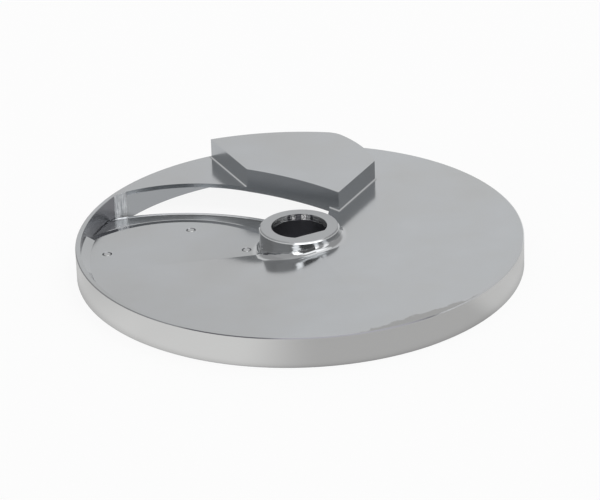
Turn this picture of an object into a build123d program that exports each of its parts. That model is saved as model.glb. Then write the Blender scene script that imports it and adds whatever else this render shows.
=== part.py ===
from build123d import *
from math import cos, radians, sin, tan
import os

# Driving dimensions of the disc, in millimetres and degrees.
# Azimuths are measured from +X towards +Y, about the turning axis.
disc_diameter = 205.0
rim_height = 14.4
rim_wall = 4.5
thin_rim_wall = 2.3
rim_chamfer = 0.4

# The cut: lip, slice, blade and plate are stacked down from the deck level.
lip_thickness = 2.0
lip_relief = 10.0
slice_thickness = 10.0
blade_thickness = 1.6
plate_thickness = 3.2
root_depth = 1.5

# The spiral deck sinks from the deck level down to the blade platform.
ramp_low = 190.0
ramp_high = 292.0
pocket_slope_width = 3.9
pocket_slope_height = 2.0
platform_edge_width = 5.5
platform_edge_drop = 1.0
platform_edge_break = 0.3

# The discharge slot between the lip and the platform's edge.
slot_outer_azimuth = 148.2
wall_step_start = 146.0
wall_step_end = 149.5

# The pusher block that sweeps the slices down.
pusher_height = 9.6
pusher_corner_radius = 12.0
pusher_foot_width = 0.8
pusher_foot_angle = 45.0

# The hub with its D-shaped drive bore.
hub_diameter = 36.8
hub_rise = 5.1
hub_foot_radius = 3.2
hub_chamfer = 0.8
hub_end_level = 1.0
bore_diameter = 25.6
bore_flat_distance = 10.3
bore_flat_azimuth = -62.5
bore_land = 3.2
cavity_diameter = 29.0
cavity_floor = 4.0

# The sickle blade and its screws, each screw at a share of the deck's width and an azimuth.
blade_clearance = 0.6
blade_bevel = 6.0
blade_edge_land = 0.2
screw_diameter = 3.8
screw_head_diameter = 6.8
screw_head_angle = 90.0
screw_clearance = 0.05
screw_end_chamfer = 0.4
screw_hole_chamfer = 0.3
screw_places = [(0.465, 153.1), (0.857, 178.3), (0.075, 174.8)]

# Levels and radii worked out from the sizes above.
deck_level = rim_height
lip_underside = deck_level - lip_thickness
cutting_level = lip_underside - slice_thickness
seat_level = cutting_level + blade_thickness
platform_level = seat_level + plate_thickness
food_level = deck_level - plate_thickness
pusher_level = deck_level + pusher_height
hub_level = deck_level + hub_rise

disc_radius = disc_diameter / 2
rim_inner_radius = disc_radius - rim_wall
pocket_radius = disc_radius - thin_rim_wall
plate_radius = pocket_radius + root_depth / 2
pocket_edge = pocket_radius - pocket_slope_width
hub_radius = hub_diameter / 2
hub_root_radius = hub_radius - root_depth
hub_foot_end = hub_radius + hub_foot_radius
full_turn = 360
flat_start = ramp_high - full_turn


def polar(radius, azimuth):
    """Point of the disc's plan at a radius and an azimuth."""
    return (radius * cos(radians(azimuth)), radius * sin(radians(azimuth)))


def spot(share, azimuth):
    """Point of the deck's plan at a share of its width from the hub to the rim."""
    return polar(hub_radius + share * (pocket_radius - hub_radius), azimuth)


def radial_plane(azimuth, level):
    """Plane through the axis: local X points outwards and local Y upwards."""
    out = (cos(radians(azimuth)), sin(radians(azimuth)), 0)
    side = (sin(radians(azimuth)), -cos(radians(azimuth)), 0)
    return Plane(origin=(0, 0, level), x_dir=out, z_dir=side)


def hub_foot_section(azimuth, level):
    """Section of the hub's rounded foot, sunk a little into the deck."""
    with BuildSketch(radial_plane(azimuth, level)) as section:
        with BuildLine():
            Line((hub_root_radius, hub_foot_radius), (hub_radius, hub_foot_radius))
            RadiusArc((hub_radius, hub_foot_radius), (hub_foot_end, 0), -hub_foot_radius)
            Polyline((hub_foot_end, 0), (hub_foot_end, -root_depth),
                     (hub_root_radius, -root_depth), (hub_root_radius, hub_foot_radius))
        make_face()
    return section.sketch


def pocket_slope_section(azimuth, level):
    """Section of the slope between a sunken deck and the rim, sunk into both."""
    with BuildSketch(radial_plane(azimuth, level)) as section:
        with BuildLine():
            Polyline((pocket_edge, 0), (pocket_radius, pocket_slope_height),
                     (plate_radius, pocket_slope_height), (plate_radius, -root_depth),
                     (pocket_edge, -root_depth), (pocket_edge, 0))
        make_face()
    return section.sketch


def ramp_section(azimuth, level):
    """Section of the sinking deck with the hub's foot and the rim's slope."""
    with BuildSketch(radial_plane(azimuth, level)) as section:
        with BuildLine():
            Line((hub_root_radius, hub_foot_radius), (hub_radius, hub_foot_radius))
            RadiusArc((hub_radius, hub_foot_radius), (hub_foot_end, 0), -hub_foot_radius)
            Polyline((hub_foot_end, 0), (pocket_edge, 0), (pocket_radius, pocket_slope_height),
                     (plate_radius, pocket_slope_height), (plate_radius, -plate_thickness),
                     (hub_root_radius, -plate_thickness), (hub_root_radius, hub_foot_radius))
        make_face()
    return section.sketch


def spiral(start, end, low, high):
    """Helix about the axis that climbs from one azimuth and level to another."""
    with BuildLine() as climb:
        Helix(pitch=(high - low) * full_turn / (end - start), height=high - low,
              radius=disc_radius / 2)
    return climb.line.moved(Location((0, 0, low), (0, 0, start)))


def wedge(start, end):
    """Footprint of the sector between two azimuths, reaching past the rim."""
    with BuildSketch() as sector:
        with BuildLine():
            Line((0, 0), polar(disc_diameter, start))
            CenterArc((0, 0), disc_diameter, start, end - start)
            Line(polar(disc_diameter, end), (0, 0))
        make_face()
    return sector.sketch


# Plan points of the lip, which is also the foot of the pusher's front wall.
lip_outer = polar(pocket_radius, slot_outer_azimuth)
lip_crest = spot(0.826, 134.3)
lip_corner = spot(0.507, 113.4)
lip_middle = spot(0.281, 90.4)
lip_share = 0.885

# Plan points of the platform's edge, from the hub to the rim.
edge_root = polar(hub_root_radius, 120.0)
edge_middle = spot(0.566, 142.2)
edge_rim = polar(plate_radius, 167.0)
pocket_slope_end = 169.5

# The slot's inner end runs from the lip to the far side of the hub.
slot_root_azimuth = 43.0
slot_root = polar(hub_root_radius, slot_root_azimuth)
hub_foot_low_end = 124.0
hub_foot_high_end = 48.0

# The border between the flat deck and the sunken zone runs along the slot.
border_inner_azimuth = 68.0
border_outer_azimuth = 156.0
border_points = [spot(0.698, 139.0), spot(0.399, 120.6), spot(0.081, border_inner_azimuth)]

# Plan points of the pusher.
pusher_nose = spot(0.159, 53.4)
pusher_heel = spot(0.628, 58.3)
pusher_shoulder = spot(0.779, 67.3)
pusher_corner = spot(0.952, 78.6)
pusher_back = spot(0.969, 96.5)
pusher_end = polar(pocket_radius, 114.2)

# Plan points of the blade: its edge, its ends at the hub, and its hollow back.
blade_tip_azimuth = 150.6
blade_tip = polar(disc_radius, blade_tip_azimuth)
blade_crest = spot(0.720, 135.1)
blade_heel = spot(0.182, 88.3)
blade_root = polar(hub_root_radius, 97.0)
horn_root = polar(hub_root_radius, 193.0)
horn_inner = spot(0.136, 188.0)
blade_back = spot(0.468, 165.8)
horn_outer_azimuth = 184.5
horn_outer = spot(0.777, horn_outer_azimuth)

# The pusher's front wall is one arc, and its first part is the lip.
with BuildLine() as front_line:
    front_wall = ThreePointArc(lip_corner, lip_middle, pusher_nose)
lip_inner = front_wall @ lip_share

# The platform's edge is one arc from the hub to the rim.
with BuildLine() as edge_line:
    edge_arc = ThreePointArc(edge_root, edge_middle, edge_rim)
edge_centre = (edge_arc.arc_center.X, edge_arc.arc_center.Y)
edge_radius = edge_arc.radius

# Footprint of the slot at the deck level.
with BuildSketch() as slot_plan:
    with BuildLine():
        ThreePointArc(lip_outer, lip_crest, lip_corner)
        ThreePointArc(lip_corner, front_wall @ (lip_share / 2), lip_inner)
        add(edge_line.line)
        Polyline(edge_rim, polar(disc_diameter, border_outer_azimuth),
                 polar(disc_radius, slot_outer_azimuth), lip_outer)
        Polyline(lip_inner, slot_root, (0, 0), edge_root)
    make_face()

# Footprint of the zone that sinks to the platform.
with BuildSketch() as platform_zone:
    with BuildLine():
        Polyline(polar(disc_diameter, border_outer_azimuth),
                 polar(pocket_radius, border_outer_azimuth), *border_points, (0, 0),
                 polar(disc_diameter, ramp_low), polar(disc_diameter, border_outer_azimuth))
    make_face()

# Footprint of the thick stretch of the rim, which ends in a slanted step.
with BuildSketch() as thick_wall_plan:
    with BuildLine():
        CenterArc((0, 0), plate_radius, flat_start, wall_step_end - flat_start)
        Polyline(polar(plate_radius, wall_step_end), polar(pocket_radius, wall_step_end),
                 polar(rim_inner_radius, wall_step_start))
        CenterArc((0, 0), rim_inner_radius, wall_step_start, flat_start - wall_step_start)
        Line(polar(rim_inner_radius, flat_start), polar(plate_radius, flat_start))
    make_face()

# Footprint of the pusher. Its front wall stands on the lip.
with BuildSketch() as pusher_plan:
    with BuildLine():
        add(front_line.line)
        Line(pusher_nose, pusher_heel)
        ThreePointArc(pusher_heel, pusher_shoulder, pusher_corner)
        ThreePointArc(pusher_corner, pusher_back, pusher_end)
        Line(pusher_end, lip_corner)
    make_face()
    fillet(pusher_plan.vertices().sort_by_distance(pusher_corner)[0], pusher_corner_radius)

# The flat deck, whose underside rises towards the lip.
with BuildPart() as flat_deck:
    with BuildSketch(Plane.XY.offset(food_level)):
        Circle(plate_radius)
        add(wedge(flat_start, ramp_low), mode=Mode.INTERSECT)
        add(platform_zone.sketch, mode=Mode.SUBTRACT)
        add(slot_plan.sketch, mode=Mode.SUBTRACT)
    extrude(amount=plate_thickness)
    underside = flat_deck.faces().sort_by(Axis.Z)[0]
    lip_arcs = underside.edges().filter_by(GeomType.CIRCLE).sort_by(SortBy.LENGTH)[:-1]
    chamfer(lip_arcs, length=lip_relief, length2=plate_thickness - lip_thickness,
            reference=underside)

# The platform that carries the blade, turned with its sloping edge about the arc's centre.
with BuildPart() as platform:
    with BuildSketch(Plane(origin=(*edge_centre, seat_level), x_dir=(1, 0, 0), z_dir=(0, -1, 0))):
        with BuildLine():
            Polyline((0, 0), (edge_radius, 0),
                     (edge_radius, plate_thickness - platform_edge_drop - platform_edge_break),
                     (edge_radius - platform_edge_break, plate_thickness - platform_edge_drop),
                     (edge_radius - platform_edge_width, plate_thickness),
                     (0, plate_thickness), (0, 0))
        make_face()
    revolve(axis=Axis((*edge_centre, 0), (0, 0, 1)))
    with BuildSketch(Plane.XY.offset(seat_level)):
        Circle(plate_radius)
        add(platform_zone.sketch, mode=Mode.INTERSECT)
    extrude(amount=plate_thickness, mode=Mode.INTERSECT)
    with BuildSketch(Plane.XY.offset(seat_level)):
        with Locations([spot(*place) for place in screw_places]):
            Circle(screw_diameter / 2 + screw_clearance)
    extrude(amount=plate_thickness, mode=Mode.SUBTRACT)
    hole_ends = platform.edges(Select.LAST).filter_by(GeomType.CIRCLE).group_by(Axis.Z)[-1]
    chamfer(hole_ends, screw_hole_chamfer)

# The ramp, cut off level with the flat deck.
with BuildPart() as ramp:
    sweep(ramp_section(ramp_low, platform_level), is_frenet=True,
          path=spiral(ramp_low, ramp_high, platform_level, deck_level))
    with BuildSketch(Plane.XY.offset(deck_level)):
        Circle(disc_radius)
        Circle(disc_radius / 2, mode=Mode.SUBTRACT)
    extrude(amount=pocket_slope_height, mode=Mode.SUBTRACT)

# The sloping foot round the pusher, cut off flush at the slot.
with BuildPart() as pusher_foot:
    with BuildSketch(Plane.XY.offset(deck_level)):
        add(pusher_plan.sketch)
        offset(amount=pusher_foot_width, kind=Kind.INTERSECTION)
    extrude(amount=pusher_foot_width, taper=pusher_foot_angle)
    with BuildSketch(Plane.XY.offset(deck_level)):
        add(slot_plan.sketch)
    extrude(amount=pusher_foot_width, mode=Mode.SUBTRACT)

# The disc body: rim, spiral deck, hub and pusher are one casting.
with BuildPart() as disc_body:
    # Rim
    with BuildSketch():
        Circle(disc_radius)
        Circle(pocket_radius, mode=Mode.SUBTRACT)
    extrude(amount=rim_height)
    outer_edges = disc_body.edges().filter_by(GeomType.CIRCLE).sort_by(SortBy.RADIUS)[-2:]
    chamfer(outer_edges, rim_chamfer)
    extrude(thick_wall_plan.sketch, amount=rim_height)
    # Deck
    add(flat_deck.part)
    add(platform.part)
    add(ramp.part)
    revolve(pocket_slope_section(ramp_low, platform_level), axis=Axis.Z,
            revolution_arc=pocket_slope_end - ramp_low)
    # Hub
    with BuildSketch(Plane.XY.offset(hub_end_level)):
        Circle(hub_radius)
    extrude(amount=hub_level - hub_end_level)
    revolve(hub_foot_section(flat_start, deck_level), axis=Axis.Z,
            revolution_arc=hub_foot_high_end - flat_start)
    revolve(hub_foot_section(ramp_low, platform_level), axis=Axis.Z,
            revolution_arc=hub_foot_low_end - ramp_low)
    # Pusher
    with BuildSketch(Plane.XY.offset(lip_underside)):
        add(pusher_plan.sketch)
    extrude(amount=pusher_level - lip_underside)
    add(pusher_foot.part)
    # Drive bore
    with BuildSketch(Plane.XY.offset(hub_level - bore_land)):
        Circle(bore_diameter / 2)
        with Locations(Location((0, 0, 0), (0, 0, bore_flat_azimuth))):
            with Locations((bore_flat_distance + bore_diameter / 2, 0)):
                Rectangle(bore_diameter, bore_diameter, mode=Mode.SUBTRACT)
    extrude(amount=bore_land, mode=Mode.SUBTRACT)
    with BuildSketch(Plane.XY.offset(cavity_floor)):
        Circle(cavity_diameter / 2)
    extrude(amount=hub_level - bore_land - cavity_floor, mode=Mode.SUBTRACT)
    # Bevel round the hub's end
    hub_top = disc_body.faces().filter_by(GeomType.PLANE).sort_by_distance((hub_radius, 0, hub_level))[0]
    chamfer(hub_top.edges().filter_by(GeomType.CIRCLE).sort_by(SortBy.RADIUS)[-1], hub_chamfer)
disc_body.part.label = "disc_body"

# The sickle blade: a crescent with a bevelled cutting edge.
with BuildPart() as slicing_blade:
    with BuildSketch(Plane.XY.offset(cutting_level)):
        with BuildLine():
            ThreePointArc(blade_tip, blade_crest, blade_heel)
            Polyline(blade_heel, blade_root, horn_root, horn_inner)
            ThreePointArc(horn_inner, blade_back, horn_outer)
            Line(horn_outer, polar(disc_radius, horn_outer_azimuth))
            CenterArc((0, 0), disc_radius, horn_outer_azimuth,
                      blade_tip_azimuth - horn_outer_azimuth)
        make_face()
        Circle(pocket_radius - blade_clearance, mode=Mode.INTERSECT)
        Circle(hub_radius + blade_clearance, mode=Mode.SUBTRACT)
    extrude(amount=blade_thickness)
    top_face = slicing_blade.faces().sort_by(Axis.Z)[-1]
    cutting_edge = top_face.edges().sort_by(Axis.Y)[-1]
    chamfer(cutting_edge, length=blade_bevel, length2=blade_thickness - blade_edge_land,
            reference=top_face)
    with Locations([Location((*spot(*place), cutting_level), (180, 0, 0)) for place in screw_places]):
        CounterSinkHole(radius=screw_diameter / 2 + screw_clearance,
                        counter_sink_radius=screw_head_diameter / 2 + screw_clearance,
                        depth=blade_thickness, counter_sink_angle=screw_head_angle)
slicing_blade.part.label = "slicing_blade"

# Countersunk screws through the blade, their ends level with the platform.
head_depth = (screw_head_diameter - screw_diameter) / 2 / tan(radians(screw_head_angle / 2))
screws = []
for number, place in enumerate(screw_places, start=1):
    with BuildPart(Plane.XY.offset(cutting_level)) as screw:
        with Locations(spot(*place)):
            Cylinder(screw_diameter / 2, blade_thickness + plate_thickness,
                     align=(Align.CENTER, Align.CENTER, Align.MIN))
            Cone(screw_head_diameter / 2, screw_diameter / 2, head_depth,
                 align=(Align.CENTER, Align.CENTER, Align.MIN))
        chamfer(screw.edges().sort_by(Axis.Z)[-1], screw_end_chamfer)
    screw.part.label = f"blade_screw_{number}"
    screws.append(screw.part)

os.makedirs("parts", exist_ok=True)
for piece in (disc_body.part, slicing_blade.part, *screws):
    export_step(piece, f"parts/{piece.label}.step")
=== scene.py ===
"""Finish and studio of a french fry cutting disc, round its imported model."""

from math import cos, pi, radians, sin

import bmesh
import bpy
from bpy.props import FloatProperty, FloatVectorProperty, PointerProperty
from mathutils import Matrix, Vector


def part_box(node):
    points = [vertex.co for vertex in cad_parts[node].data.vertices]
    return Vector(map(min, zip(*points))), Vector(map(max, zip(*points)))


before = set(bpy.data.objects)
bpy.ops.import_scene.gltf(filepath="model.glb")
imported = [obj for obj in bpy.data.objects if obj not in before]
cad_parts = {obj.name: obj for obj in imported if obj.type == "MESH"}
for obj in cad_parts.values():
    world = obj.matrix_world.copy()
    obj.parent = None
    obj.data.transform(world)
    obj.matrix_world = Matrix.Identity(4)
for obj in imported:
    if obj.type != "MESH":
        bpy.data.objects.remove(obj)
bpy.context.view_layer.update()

bl_info = {
    "name": "Cutting disc finish",
    "version": (1, 0, 0),
    "blender": (4, 5, 0),
    "location": "View3D > Sidebar > Disc",
    "description": "Dresses a french fry cutting disc in turned, satin and ground metal",
    "category": "Object",
}

# Radii and levels of the disc that its finishes follow, in metres
RIM_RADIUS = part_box("disc_body")[1][0]
POCKET_RADIUS = 0.1002
RIM_INNER_RADIUS = 0.0980
HUB_RADIUS = 0.0184
CHAMBER_RADIUS = 0.0145
SCREW_RADIUS = 0.0019
HUB_LEVEL = 0.0195
HUB_LOWEST_LEVEL = 0.0050
LAND_LEVEL = 0.0163
DECK_LEVEL = 0.0144
PLATFORM_LEVEL = 0.0072
BEVEL_TOP = 0.00716
BEVEL_BREAK = 0.00638
BEVEL_FOOT = 0.0058
CHAMBER_FLOOR = 0.0040
BLADE_TOP = 0.0040
BLADE_HONED_TOP = BLADE_TOP - 0.0005

# Azimuths of places on the disc, in degrees from +X towards +Y
SLOT = (40.0, 168.0)
MILLED_STEP = (145.9, 149.8)
POCKET_START = MILLED_STEP[1]
RAMP_FOOT = -170.0
WORN_SIDE = (-72.0, -46.0)
# Azimuths of the painted shade and the painted highlight on the rim's broken edge
DARK_BREAK = (-120.0, -55.0)
BRIGHT_BREAK = (-54.0, 10.0)

# How far the worn edge reaches in from the rim, and how much the wear moves its border, in metres
WORN_WIDTH = 0.0052
WORN_WANDER = 0.007

# Painted reflection on the bore's land: dark and bright bars, each from one azimuth to another with
# the softness of its ends
PAINTED_DARK_BARS = ((60.0, 66.0, 0.6), (85.0, 96.0, 0.6), (108.0, 114.0, 2.0))
PAINTED_BRIGHT_BARS = ((75.0, 85.0, 0.6), (99.0, 104.0, 1.0))
PAINTED_REFLECTION_WHITE = (0.95, 0.95, 0.95)

# Light strips behind the camera, each with its azimuths, softness and share of the strips' light
STRIPS = ((-117.0, -100.0, 2.0, 1.0), (-48.0, -38.0, 2.0, 0.8), (-22.0, -8.0, 3.0, 0.5))

# Roughness that no polished place goes below
LOWEST_ROUGHNESS = 0.06

# Degrees in a radian
DEGREES = 180.0 / pi


class Field:
    """A value on the surface, which takes Python's arithmetic as Math nodes."""

    def __init__(self, nodes, socket):
        self.nodes = nodes
        self.socket = socket

    def math(self, operation, *others, clamp=False):
        """One Math node on this value and the others."""
        settings = {"operation": operation, "use_clamp": clamp}
        inputs = dict(enumerate((self, *others)))
        return self.nodes.add("ShaderNodeMath", settings, inputs)

    def __add__(self, other):
        return self.math("ADD", other)

    __radd__ = __add__

    def __sub__(self, other):
        return self.math("SUBTRACT", other)

    def __rsub__(self, other):
        return (self * -1.0) + other

    def __mul__(self, other):
        return self.math("MULTIPLY", other)

    __rmul__ = __mul__

    def __pow__(self, other):
        return self.math("POWER", other)

    def __abs__(self):
        return self.math("ABSOLUTE")

    def at_least(self, lowest):
        """This value, or the lowest where it is below that."""
        return self.math("MAXIMUM", lowest)

    def clamped(self):
        """This value, kept between 0 and 1."""
        return self.math("ADD", 0.0, clamp=True)

    def step_up(self, low, high):
        """Smooth rise from 0 at low to 1 at high."""
        settings = {"interpolation_type": "SMOOTHSTEP"}
        inputs = {"Value": self, "From Min": low, "From Max": high}
        return self.nodes.add("ShaderNodeMapRange", settings, inputs)

    def band(self, low, high, soft):
        """1 between low and high, with soft ends."""
        return self.step_up(low - soft, low + soft) * (1.0 - self.step_up(high - soft, high + soft))


class Finish:
    """A material's node tree, built from short calls."""

    def __init__(self, tree):
        self.tree = tree
        self.tree.nodes.clear()

    def add(self, kind, settings=None, inputs=None, output=0):
        """Adds one node: settings first, then the values or links of its sockets."""
        node = self.tree.nodes.new(kind)
        for name, value in (settings or {}).items():
            setattr(node, name, value)
        for name, value in (inputs or {}).items():
            if isinstance(value, Field):
                self.tree.links.new(value.socket, node.inputs[name])
            else:
                node.inputs[name].default_value = value
        return Field(self, node.outputs[output]) if node.outputs else None

    def split(self, vector):
        """The three parts of a vector."""
        first = self.add("ShaderNodeSeparateXYZ", inputs={0: vector})
        return [Field(self, socket) for socket in first.socket.node.outputs]

    def combine(self, x, y, z):
        """A vector from three parts."""
        return self.add("ShaderNodeCombineXYZ", inputs={0: x, 1: y, 2: z})

    def position(self):
        """Place on the object, as a vector and as its three parts."""
        place = self.add("ShaderNodeTexCoord", output="Object")
        return place, self.split(place)

    def facing(self):
        """How far the surface looks up: 1 on a flat top, 0 on a wall, -1 below."""
        return self.split(self.add("ShaderNodeTexCoord", output="Normal"))[2]

    def ray(self, kind):
        """1 for one kind of ray, such as the camera's, and 0 for the others."""
        return self.add("ShaderNodeLightPath", output=kind)

    def noise(self, vector, scale, detail, roughness):
        """Noise about 0.5 on a vector."""
        inputs = {"Vector": vector, "Scale": scale, "Detail": detail, "Roughness": roughness}
        return self.add("ShaderNodeTexNoise", inputs=inputs)

    def mix_colour(self, factor, first, second):
        """The first colour at 0 and the second at 1."""
        inputs = {0: factor, 6: first, 7: second}
        return self.add("ShaderNodeMix", {"data_type": "RGBA"}, inputs, output=2)

    def scale_colour(self, colour, factor):
        """A colour made darker or lighter."""
        return self.add("ShaderNodeVectorMath", {"operation": "SCALE"}, {0: colour, "Scale": factor})

    def mix_shader(self, factor, first, second):
        """The first shader at 0 and the second at 1."""
        return self.add("ShaderNodeMixShader", inputs={0: factor, 1: first, 2: second})

    def glow(self, colour, strength):
        """Plain emission."""
        return self.add("ShaderNodeEmission", inputs={"Color": opaque(colour), "Strength": strength})

    def bump(self, height, distance, strength=1.0, normal=None):
        """Normal that follows a height, on top of another normal where one is given."""
        inputs = {"Height": height, "Distance": distance, "Strength": strength}
        if normal is not None:
            inputs["Normal"] = normal
        return self.add("ShaderNodeBump", inputs=inputs)

    def metal(self, base_colour, roughness, normal):
        """Metal surface as the material's output."""
        surface = self.add("ShaderNodeBsdfPrincipled", inputs={
            "Metallic": 1.0, "Base Color": base_colour, "Roughness": roughness, "Normal": normal})
        self.add("ShaderNodeOutputMaterial", inputs={"Surface": surface})


def new_finish(name):
    """A new material and the tree that makes it."""
    material = bpy.data.materials.new(name)
    material.use_nodes = True
    return material, Finish(material.node_tree)


def opaque(colour):
    """Colour with full alpha, as a colour socket takes it."""
    return (*colour, 1.0)


def darker(colour, share):
    """A colour with each part scaled down to a share."""
    return [part * share for part in colour]


def radius_of(x, y):
    """Distance from the disc's axis."""
    return (x * x + y * y) ** 0.5


def azimuth_of(x, y):
    """Angle about the disc's axis, in degrees from +X towards +Y."""
    return y.math("ARCTAN2", x) * DEGREES


def screw_names():
    """Names of the blade screws' nodes."""
    return [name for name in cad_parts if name.startswith("blade_screw")]


class DiscSurface:
    """Places, grain and zones of the cast disc. A zone is 1 inside itself and 0 outside."""

    def __init__(self, nodes):
        self.nodes = nodes
        self.place, (self.x, self.y, self.z) = nodes.position()
        self.facing = nodes.facing()
        self.radius = radius_of(self.x, self.y)
        self.azimuth = azimuth_of(self.x, self.y)
        self.make_grain()
        self.find_walls()
        self.find_hub()
        self.find_bevel()
        self.find_edges()
        self.find_screw_gaps()

    def make_grain(self):
        """Patterns, from the blasted skin to the lathe's rings and the mill's strokes."""
        noise = self.nodes.noise
        combine = self.nodes.combine
        x, y, z = self.x, self.y, self.z
        self.skin = noise(self.place, 2600.0, 3.0, 0.6)
        self.clouds = noise(self.place, 34.0, 3.0, 0.5)
        self.wear = noise(self.place, 160.0, 4.0, 0.65)
        self.smears = noise(combine(x * 0.3, y, z), 70.0, 3.0, 0.55)
        self.rings = noise(combine(self.radius, 0.0, 0.0), 1500.0, 2.0, 0.5)
        self.rim_lines = noise(combine(self.azimuth * 0.00002, 0.0, z), 2400.0, 2.0, 0.6)
        self.strokes = noise(combine(self.azimuth * 0.09, z * 2.5, 0.0), 34.0, 3.0, 0.65)
        self.ripples = noise(combine(self.azimuth * 0.0002, self.radius, z * 2.4), 260.0, 1.5, 0.4)

    def find_walls(self):
        """Walls, tops and undersides, the turned rim, its milled step and painted shade on the
        pocket's walls.
        """
        radius, azimuth = self.radius, self.azimuth
        self.wall = 1.0 - abs(self.facing).step_up(0.35, 0.6)
        self.underside = (self.facing * -1.0).step_up(0.4, 0.7)
        self.top = 1.0 - self.wall - self.underside
        self.rim = self.wall * radius.step_up(RIM_RADIUS - 0.0008, RIM_RADIUS - 0.0005)
        step_depth = radius.band(RIM_INNER_RADIUS - 0.0004, POCKET_RADIUS + 0.0004, 0.0002)
        self.milled = self.wall * azimuth.band(*MILLED_STEP, 0.1) * step_depth
        inside_rim = radius.step_up(RIM_INNER_RADIUS - 0.004, RIM_INNER_RADIUS - 0.003)
        beyond_pocket = radius.step_up(POCKET_RADIUS + 0.0004, POCKET_RADIUS + 0.0006)
        along_pocket = azimuth.step_up(POCKET_START - 0.5, POCKET_START + 0.5)
        along_pocket = along_pocket + (1.0 - azimuth.step_up(RAMP_FOOT - 7.0, RAMP_FOOT + 3.0))
        # Painted shade on the pocket's walls
        self.pocket_shade = self.wall * inside_rim * (1.0 - beyond_pocket) * along_pocket

    def find_hub(self):
        """The polished hub, its turned ring, the bore's land and painted shade in the chamber behind
        it.
        """
        radius, z = self.radius, self.z
        self.near_hub = 1.0 - radius.step_up(HUB_RADIUS + 0.0022, HUB_RADIUS + 0.0042)
        above_foot = z.step_up(HUB_LOWEST_LEVEL - 0.0005, HUB_LOWEST_LEVEL + 0.0005)
        self.hub = self.near_hub * above_foot * (1.0 - self.underside)
        self.ring = self.hub * z.step_up(HUB_LEVEL - 0.0003, HUB_LEVEL - 0.0001) * (1.0 - self.wall)
        inside_bore = 1.0 - radius.step_up(CHAMBER_RADIUS + 0.0002, CHAMBER_RADIUS + 0.0006)
        above_land = z.step_up(LAND_LEVEL - 0.0001, LAND_LEVEL + 0.0001)
        self.land = inside_bore * above_land * self.wall
        above_floor = z.step_up(CHAMBER_FLOOR - 0.0004, CHAMBER_FLOOR - 0.0002)
        self.chamber = inside_bore * (1.0 - above_land) * above_floor
        # Painted shade over the chamber, all but its low front wall
        low_down = 1.0 - z.step_up(0.0075, 0.0095)
        at_front = 1.0 - self.y.step_up(-0.008, -0.004)
        self.chamber_shade = self.chamber * (1.0 - low_down * at_front)

    def find_bevel(self):
        """The platform's bevelled edge along the slot, and the height that levels its lights."""
        over_slot = self.azimuth.band(*SLOT, 1.0) * self.top
        self.bevel = over_slot * self.z.band(BEVEL_FOOT, BEVEL_TOP, 0.00004)
        self.inner_bevel = over_slot * self.z.band(BEVEL_BREAK, BEVEL_TOP, 0.00003)
        below_break = (BEVEL_BREAK - self.z).at_least(0.0)
        below_platform = (PLATFORM_LEVEL - self.z).at_least(0.0)
        self.levelled_bevel = over_slot * (below_break + below_platform * 0.2)

    def find_edges(self):
        """The rim's worn edge, painted shade and painted highlight on its broken edge, and painted
        highlights on the pusher's chamfered foot and the hub's edge.
        """
        radius, azimuth, facing, z = self.radius, self.azimuth, self.facing, self.z
        worn_side = azimuth.band(*WORN_SIDE, 9.0)
        worn_depth = radius - RIM_RADIUS + worn_side * WORN_WIDTH + (self.wear - 0.5) * WORN_WANDER
        self.worn_edge = worn_depth.step_up(-0.0004, 0.0012) * worn_side.step_up(0.0, 0.3) * self.top
        tilted = 1.0 - self.wall - facing.step_up(0.9, 0.97)
        rim_break = tilted * radius.step_up(RIM_RADIUS - 0.0009, RIM_RADIUS - 0.0006)
        # Painted shade and painted highlight on the rim's broken edge
        self.rim_break_shade = rim_break * azimuth.band(*DARK_BREAK, 3.0)
        self.rim_break_highlight = rim_break * azimuth.band(*BRIGHT_BREAK, 3.0)
        # Painted highlights on the pusher's chamfered foot and the hub's edge
        foot = facing.band(0.6, 0.85, 0.05) * radius.step_up(HUB_RADIUS + 0.0036, HUB_RADIUS + 0.0046)
        self.pusher_foot_highlight = foot * z.band(DECK_LEVEL + 0.00025, DECK_LEVEL + 0.0006, 0.00005)
        hub_chamfer = facing.band(0.4, 0.9, 0.05) * self.near_hub
        self.ring_edge_highlight = hub_chamfer * z.band(HUB_LEVEL - 0.0008, HUB_LEVEL - 0.00045, 0.0001)

    def find_screw_gaps(self):
        """Thin gap round the end of each blade screw."""
        gaps = 0.0
        for name in screw_names():
            low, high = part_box(name)
            middle = [(low[axis] + high[axis]) / 2 for axis in (0, 1)]
            apart = ((self.x - middle[0]) ** 2 + (self.y - middle[1]) ** 2) ** 0.5
            gaps = apart.band(SCREW_RADIUS - 0.0001, SCREW_RADIUS + 0.0003, 0.00008) + gaps
        self.screw_gaps = gaps * self.top


def deck_tone(nodes, disc, settings):
    """Cloudy tone of the satin deck, with painted light towards +X and painted shade on the ramp and
    on the platform beside the hub.
    """
    azimuth, clouds = disc.azimuth, disc.clouds
    # Painted light and shade: lighter towards +X, darker on the ramp and on the platform near the hub
    painted_light_side = disc.x.step_up(-0.08, 0.07)
    ramp = azimuth.step_up(RAMP_FOOT - 0.05, RAMP_FOOT + 0.05) * (1.0 - azimuth.step_up(-145.0, -72.0))
    near_hub = 1.0 - disc.radius.step_up(0.024, 0.065)
    platform_shade = near_hub * (1.0 - disc.z.step_up(PLATFORM_LEVEL + 0.0002, 0.0110))
    shade = 0.79 + painted_light_side * 0.09 + clouds * 0.22 + disc.smears * 0.02
    shade = shade - ramp * disc.top * 0.028 - platform_shade * 0.07
    tone = nodes.mix_colour(clouds.step_up(0.3, 0.7), opaque(settings.deck_colour),
                            opaque(settings.deck_colour_cool))
    return nodes.scale_colour(tone, shade)


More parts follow.
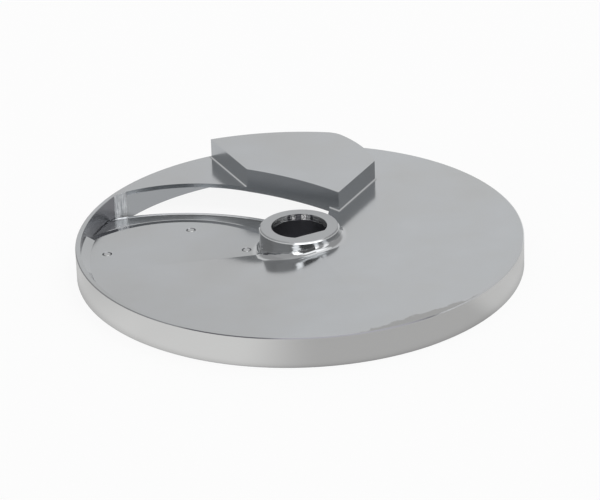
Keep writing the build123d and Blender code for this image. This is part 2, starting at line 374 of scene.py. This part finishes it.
def disc_colour(nodes, disc, settings):
    """Colour of the cast disc: the deck's tone, with each zone's colour laid over it."""
    # Painted reflection: dark and bright bars on the bore's land
    painted_dark_bars = sum(disc.azimuth.band(*bar) for bar in PAINTED_DARK_BARS)
    painted_bright_bars = sum(disc.azimuth.band(*bar) for bar in PAINTED_BRIGHT_BARS)
    # Painted highlights on the pusher's foot, the hub's edge and the rim's break
    painted_highlights = disc.pusher_foot_highlight * 0.85 + disc.ring_edge_highlight * 0.8 + disc.rim_break_highlight
    layers = (
        (disc.worn_edge * 0.85, settings.worn_colour),
        (disc.wall, settings.wall_colour),
        (disc.rim, settings.rim_colour),
        (disc.pocket_shade * 0.9, settings.dark_and_shade_colour),
        (disc.hub, settings.hub_colour),
        (disc.ring, settings.ring_colour),
        (disc.inner_bevel, settings.bevel_colour),
        (disc.rim_break_shade, settings.dark_and_shade_colour),
        (painted_highlights.clamped(), settings.milled_and_highlight_colour),
        (disc.milled * disc.strokes.step_up(0.36, 0.56), settings.milled_and_highlight_colour),
        (disc.chamber_shade, settings.dark_and_shade_colour),
        (disc.land * painted_dark_bars, settings.dark_and_shade_colour),
        (disc.land * painted_bright_bars, PAINTED_REFLECTION_WHITE),
        (disc.screw_gaps, settings.dark_and_shade_colour),
    )
    colour = deck_tone(nodes, disc, settings)
    for zone, zone_colour in layers:
        colour = nodes.mix_colour(zone, colour, opaque(zone_colour))
    return colour


def disc_roughness(disc, settings):
    """Roughness of the cast disc: the deck's, with what each pattern and zone adds to it."""
    additions = (
        (disc.clouds - 0.5, 0.04),
        (disc.smears - 0.5, 0.03),
        (disc.wall, 0.06),
        (disc.rim, 0.02),
        (disc.hub, -0.06),
        (disc.hub * disc.wall, -0.06),
        (disc.ring, 0.30),
        (disc.underside, 0.16),
        (disc.milled, 0.22),
        (disc.chamber, 0.35),
        (disc.bevel, -0.05),
    )
    added = sum(zone * amount for zone, amount in additions)
    return (settings.deck_roughness + added).at_least(LOWEST_ROUGHNESS)


def disc_normal(nodes, disc):
    """Fine grain of the disc's skin and turning, below the coarser marks of its zones."""
    grain = (disc.skin - 0.5) * (1.0 - disc.hub) * (0.25 + disc.underside * 0.6)
    turning = (disc.rings - 0.5) * (disc.underside * 0.6 + disc.ring * 0.8)
    turning = turning + (disc.rim_lines - 0.5) * disc.rim
    fine = nodes.bump(grain + turning, 0.00002, 0.5)
    coarse = disc.ripples * disc.hub * disc.wall * 0.00012 + disc.strokes * disc.milled * 0.0004
    coarse = coarse + disc.levelled_bevel + disc.rim_lines * disc.land * 0.0005
    return nodes.bump(coarse, 1.0, 1.0, fine)


def cast_disc_finish(settings):
    """Satin cast alloy: smooth deck, turned rim, polished hub, milled walls, socket darkened with
    painted shade.
    """
    material, nodes = new_finish("satin_disc_alloy")
    disc = DiscSurface(nodes)
    colour = disc_colour(nodes, disc, settings)
    nodes.metal(colour, disc_roughness(disc, settings), disc_normal(nodes, disc))
    return material


def ground_blade_finish(settings):
    """Ground blade steel with painted light towards its tip, and a honed edge along the slot, lighter
    partly as honed metal and partly as a painted highlight.
    """
    material, nodes = new_finish("ground_blade_steel")
    place, (x, y, z) = nodes.position()
    honed = 1.0 - z.step_up(BLADE_HONED_TOP - 0.00005, BLADE_HONED_TOP + 0.00005)
    strokes = nodes.noise(nodes.combine(x * 0.04, y, z), 2200.0, 2.0, 0.6)
    stains = nodes.noise(place, 60.0, 4.0, 0.6)
    colour = nodes.mix_colour(stains.step_up(0.35, 0.7), opaque(settings.blade_colour),
                              opaque(darker(settings.blade_colour, 0.86)))
    # Painted light: the blade is lighter towards its tip
    tip = 1.0 + 0.6 * (1.0 - x.step_up(-0.070, -0.042))
    colour = nodes.scale_colour(colour, tip)
    # Painted highlight on the honed edge, partly the honed metal's own lighter colour
    colour = nodes.mix_colour(honed * 0.75, colour, opaque(settings.milled_and_highlight_colour))
    roughness = 0.24 + honed * 0.02 + (strokes - 0.5) * 0.10
    levelled = nodes.bump((BLADE_HONED_TOP - z).at_least(0.0) * 2.2, 1.0)
    nodes.metal(colour, roughness, nodes.bump(strokes, 0.000015, 0.5, levelled))
    return material


def screw_finish(settings):
    """Bright steel of the screws, filed level on their ends."""
    material, nodes = new_finish("blade_screw_steel")
    place, (x, y, z) = nodes.position()
    file_marks = nodes.noise(nodes.combine(x * 0.1, y, z), 3000.0, 2.0, 0.6)
    colour = nodes.mix_colour(file_marks, opaque(settings.screw_colour),
                              opaque(darker(settings.screw_colour, 0.8)))
    nodes.metal(colour, 0.26 + file_marks * 0.1, nodes.bump(file_marks, 0.00002, 0.6))
    return material


def set_material(item, material):
    """Gives a node or a piece one material."""
    item.data.materials.clear()
    item.data.materials.append(material)


class DiscFinishSettings(bpy.types.PropertyGroup):
    """Colours and polish of the disc, its blade and its screws."""

    deck_colour: FloatVectorProperty(
        name="Deck", description="Colour of the satin alloy", subtype="COLOR",
        size=3, min=0.0, max=1.0, default=(0.505, 0.515, 0.52))
    deck_colour_cool: FloatVectorProperty(
        name="Deck clouds", description="Cooler tone in the satin alloy", subtype="COLOR",
        size=3, min=0.0, max=1.0, default=(0.485, 0.50, 0.515))
    wall_colour: FloatVectorProperty(
        name="Walls", description="Colour of the milled walls", subtype="COLOR",
        size=3, min=0.0, max=1.0, default=(0.52, 0.54, 0.56))
    rim_colour: FloatVectorProperty(
        name="Rim", description="Colour of the turned rim", subtype="COLOR",
        size=3, min=0.0, max=1.0, default=(0.60, 0.60, 0.595))
    hub_colour: FloatVectorProperty(
        name="Hub", description="Colour of the polished hub", subtype="COLOR",
        size=3, min=0.0, max=1.0, default=(0.52, 0.53, 0.54))
    # Milled step's own colour, also the painted highlights on the chamfers, the rim's break, the hub's
    # edge and the blade's honed edge
    milled_and_highlight_colour: FloatVectorProperty(
        name="Bright edges", description="Colour of the milled step, the chamfers and the honed edge",
        subtype="COLOR", size=3, min=0.0, max=1.0, default=(0.90, 0.915, 0.93))
    ring_colour: FloatVectorProperty(
        name="Hub end", description="Colour of the turned ring on the hub", subtype="COLOR",
        size=3, min=0.0, max=1.0, default=(0.43, 0.44, 0.45))
    bevel_colour: FloatVectorProperty(
        name="Platform bevel", description="Colour of the polished bevel along the slot",
        subtype="COLOR", size=3, min=0.0, max=1.0, default=(0.48, 0.49, 0.51))
    worn_colour: FloatVectorProperty(
        name="Worn edge", description="Colour of the worn edge at the front right",
        subtype="COLOR", size=3, min=0.0, max=1.0, default=(0.34, 0.34, 0.335))
    # Colour of the dark screw gaps, and painted shade in the chamber, the pocket, the rim's break and
    # the land's dark bars
    dark_and_shade_colour: FloatVectorProperty(
        name="Dark places", description="Colour of the socket's chamber, the pocket and the gaps",
        subtype="COLOR", size=3, min=0.0, max=1.0, default=(0.22, 0.22, 0.24))
    blade_colour: FloatVectorProperty(
        name="Blade", description="Colour of the ground blade", subtype="COLOR",
        size=3, min=0.0, max=1.0, default=(0.40, 0.41, 0.42))
    screw_colour: FloatVectorProperty(
        name="Screws", description="Colour of the screws' ends", subtype="COLOR",
        size=3, min=0.0, max=1.0, default=(0.52, 0.53, 0.535))
    deck_roughness: FloatProperty(
        name="Deck roughness", description="How blurred the deck's reflections are",
        subtype="FACTOR", min=0.05, max=1.0, default=0.15)


class DiscStudioSettings(bpy.types.PropertyGroup):
    """Camera, floor and light of the studio."""

    lens: FloatProperty(
        name="Lens", description="Focal length on a 36 mm wide sensor",
        min=10.0, default=195.72)
    distance: FloatProperty(
        name="Distance", description="From the camera to the point that it looks at",
        subtype="DISTANCE", unit="LENGTH", min=0.1, default=1.4774)
    elevation: FloatProperty(
        name="Elevation", description="Angle of the camera above the deck",
        subtype="ANGLE", unit="ROTATION", default=radians(25.646))
    roll: FloatProperty(
        name="Roll", description="Turn of the camera about its own line of sight",
        subtype="ANGLE", unit="ROTATION", default=radians(-1.9422))
    target: FloatVectorProperty(
        name="Target", description="Point that the camera looks at", subtype="XYZ",
        unit="LENGTH", size=3, default=(0.00002, -0.01494, 0.0144))
    floor_size: FloatProperty(
        name="Floor", description="Side of the square floor",
        subtype="DISTANCE", unit="LENGTH", min=0.5, default=12.0)
    floor_colour: FloatVectorProperty(
        name="Floor colour", description="Colour of the pale floor", subtype="COLOR",
        size=3, min=0.0, max=1.0, default=(0.86, 0.86, 0.86))
    floor_glow: FloatProperty(
        name="Floor glow", description="Share of the floor that the camera sees as plain white",
        subtype="FACTOR", min=0.0, max=1.0, default=0.9)
    back_light: FloatProperty(
        name="Back light", description="Brightness of the studio behind the disc",
        min=0.0, default=0.86)
    top_light: FloatProperty(
        name="Top light", description="Brightness of the studio's ceiling",
        min=0.0, default=0.60)
    side_light: FloatProperty(
        name="Side light", description="Brightness of the studio's other walls",
        min=0.0, default=0.475)
    strip_light: FloatProperty(
        name="Strip light", description="Brightness of the brightest strip behind the camera",
        min=0.0, default=2.2)
    overhead_light: FloatProperty(
        name="Overhead light", description="Brightness that the panel above the camera adds",
        min=0.0, default=1.2)
    lamp_place: FloatVectorProperty(
        name="Lamp", description="Place of the soft lamp above the disc", subtype="XYZ",
        unit="LENGTH", size=3, default=(0.3, 0.5, 1.6))
    lamp_size: FloatProperty(
        name="Lamp size", description="Side of the soft lamp",
        subtype="DISTANCE", unit="LENGTH", min=0.01, default=1.2)
    lamp_power: FloatProperty(
        name="Lamp power", description="Power of the soft lamp",
        unit="POWER", min=0.0, default=3.0)


class DISC_OT_dress_body(bpy.types.Operator):
    """Gives the cast disc its satin, turned and polished surfaces"""

    bl_idname = "disc.dress_body"
    bl_label = "Dress the disc"

    def execute(self, context):
        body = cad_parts["disc_body"]
        set_material(body, cast_disc_finish(context.scene.disc_finish))
        return {"FINISHED"}


class DISC_OT_dress_blade(bpy.types.Operator):
    """Gives the sickle blade its ground steel"""

    bl_idname = "disc.dress_blade"
    bl_label = "Dress the blade"

    def execute(self, context):
        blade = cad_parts["slicing_blade"]
        set_material(blade, ground_blade_finish(context.scene.disc_finish))
        return {"FINISHED"}


class DISC_OT_dress_screws(bpy.types.Operator):
    """Gives the three blade screws their steel"""

    bl_idname = "disc.dress_screws"
    bl_label = "Dress the screws"

    def execute(self, context):
        steel = screw_finish(context.scene.disc_finish)
        for name in screw_names():
            set_material(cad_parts[name], steel)
        return {"FINISHED"}


def floor_finish(settings):
    """Pale floor: white to the camera but for its shadow, and glowing as painted light in the metal's
    reflections.
    """
    material, nodes = new_finish("pale_floor")
    place, (x, y, z) = nodes.position()
    radius = radius_of(x, y)
    azimuth = azimuth_of(x, y)
    # Only the metal's reflections see this glow, as painted light: brightest at the front left, darker
    # to the right, with a painted shadow below the disc and a painted pool of light below the slot
    front_right = azimuth.step_up(-109.0, -85.0) * (1.0 - azimuth.step_up(-37.5, -27.5))
    right = azimuth.step_up(-37.0, -27.0)
    far_right = azimuth.step_up(-18.0, -2.0)
    far_left = 1.0 - azimuth.step_up(-172.0, -140.0)
    round_disc = 0.97 - front_right * 0.33 - right * 0.16 - far_right * 0.09 - far_left * 0.21
    painted_light_below_slot = azimuth.band(70.0, 144.0, 3.0) * radius.step_up(0.035, 0.05) * 0.82
    painted_shadow_below_disc = 0.2
    beyond_disc = radius.step_up(RIM_RADIUS - 0.0085, RIM_RADIUS + 0.0055)
    open_floor = (painted_shadow_below_disc + (1.0 - painted_shadow_below_disc) * beyond_disc).at_least(painted_light_below_slot)

    matt = nodes.add("ShaderNodeBsdfDiffuse", inputs={"Color": opaque(settings.floor_colour)})
    white = nodes.glow((1.0, 1.0, 1.0), 1.0)
    dark = nodes.glow((0.0, 0.0, 0.0), 0.0)
    painted_floor_reflection = nodes.mix_shader(round_disc * open_floor, dark, white)
    unseen = nodes.mix_shader(nodes.ray("Is Glossy Ray"), matt, painted_floor_reflection)
    surface = nodes.mix_shader(nodes.ray("Is Camera Ray") * settings.floor_glow, unseen, white)
    nodes.add("ShaderNodeOutputMaterial", inputs={"Surface": surface})
    return material


def make_floor(settings):
    """Square floor below the disc, which keeps the disc's shadow."""
    mesh = bpy.data.meshes.new("studio_floor")
    sheet = bmesh.new()
    bmesh.ops.create_grid(sheet, x_segments=1, y_segments=1, size=settings.floor_size / 2)
    sheet.to_mesh(mesh)
    sheet.free()
    floor = bpy.data.objects.new("studio_floor", mesh)
    bpy.context.collection.objects.link(floor)
    set_material(floor, floor_finish(settings))


def make_world(settings):
    """Studio walls: white to the camera, bright behind the disc, with three strips in front."""
    world = bpy.data.worlds.new("studio_walls")
    world.use_nodes = True
    nodes = Finish(world.node_tree)
    x, y, z = nodes.split(nodes.add("ShaderNodeTexCoord", output="Generated"))
    azimuth = azimuth_of(x, y)
    elevation = z.math("ARCSINE") * DEGREES
    behind = azimuth.band(58.0, 116.0, 10.0) * elevation.band(-20.0, 52.0, 8.0)
    front_left = 1.0 - azimuth.step_up(-132.0, -122.0)
    front_gap = azimuth.band(-96.0, -52.0, 3.0)
    ceiling = elevation.step_up(46.0, 60.0)
    overhead = azimuth.band(-112.0, 20.0, 6.0) * elevation.band(48.0, 74.0, 4.0)
    strips = sum(azimuth.band(low, high, soft) * share for low, high, soft, share in STRIPS)
    strips = strips * elevation.band(2.0, 44.0, 3.0)

    level = settings.side_light + behind * (settings.back_light - settings.side_light)
    level = level - front_gap * 0.32 + front_left * 0.07
    level = level * (1.0 - ceiling) + ceiling * settings.top_light
    level = level + strips * settings.strip_light + overhead * settings.overhead_light
    camera_ray = nodes.ray("Is Camera Ray")
    strength = level * (1.0 - camera_ray) + camera_ray
    surface = nodes.add("ShaderNodeBackground", inputs={
        "Color": opaque((1.0, 1.0, 1.0)), "Strength": strength})
    nodes.add("ShaderNodeOutputWorld", inputs={"Surface": surface})
    bpy.context.scene.world = world


def make_lamp(settings):
    """Soft square lamp above the disc, which faces its middle."""
    lamp = bpy.data.lights.new("top_softbox", "AREA")
    lamp.shape = "SQUARE"
    lamp.size = settings.lamp_size
    lamp.energy = settings.lamp_power
    holder = bpy.data.objects.new("top_softbox", lamp)
    place = Vector(settings.lamp_place)
    holder.location = place
    holder.rotation_euler = (-place).to_track_quat("-Z", "Y").to_euler()
    bpy.context.collection.objects.link(holder)


def make_camera(settings):
    """Camera above the near side of the disc, as in the photograph."""
    back = Vector((0.0, -cos(settings.elevation), sin(settings.elevation)))
    place = Vector(settings.target) + back * settings.distance
    look = (-back).to_track_quat("-Z", "Y").to_matrix()
    turned = look @ Matrix.Rotation(settings.roll, 3, "Z")
    lens = bpy.data.cameras.new("studio_camera")
    lens.sensor_fit = "HORIZONTAL"
    lens.sensor_width = 36.0
    lens.lens = settings.lens
    camera = bpy.data.objects.new("studio_camera", lens)
    camera.matrix_world = Matrix.Translation(place) @ turned.to_4x4()
    bpy.context.collection.objects.link(camera)
    bpy.context.scene.camera = camera


class DISC_OT_build_studio(bpy.types.Operator):
    """Sets up the floor, the walls, the lamp and the camera"""

    bl_idname = "disc.build_studio"
    bl_label = "Build the studio"

    def execute(self, context):
        settings = context.scene.disc_studio
        make_floor(settings)
        make_world(settings)
        make_lamp(settings)
        make_camera(settings)
        context.scene.view_settings.view_transform = "Standard"
        return {"FINISHED"}


class DISC_PT_finish(bpy.types.Panel):
    """Colours and steps of the cutting disc"""

    bl_idname = "DISC_PT_finish"
    bl_label = "Cutting disc"
    bl_space_type = "VIEW_3D"
    bl_region_type = "UI"
    bl_category = "Disc"

    def draw(self, context):
        for settings in (context.scene.disc_finish, context.scene.disc_studio):
            for name in settings.__annotations__:
                self.layout.prop(settings, name)
        for operator in OPERATORS:
            self.layout.operator(operator.bl_idname)


OPERATORS = (DISC_OT_dress_body, DISC_OT_dress_blade, DISC_OT_dress_screws, DISC_OT_build_studio)
CLASSES = (DiscFinishSettings, DiscStudioSettings, *OPERATORS, DISC_PT_finish)


def register():
    for item in CLASSES:
        bpy.utils.register_class(item)
    bpy.types.Scene.disc_finish = PointerProperty(type=DiscFinishSettings)
    bpy.types.Scene.disc_studio = PointerProperty(type=DiscStudioSettings)


def unregister():
    del bpy.types.Scene.disc_studio
    del bpy.types.Scene.disc_finish
    for item in reversed(CLASSES):
        bpy.utils.unregister_class(item)


def main():
    register()
    bpy.ops.disc.dress_body()
    bpy.ops.disc.dress_blade()
    bpy.ops.disc.dress_screws()
    bpy.ops.disc.build_studio()


if __name__ == "__main__":
    main()
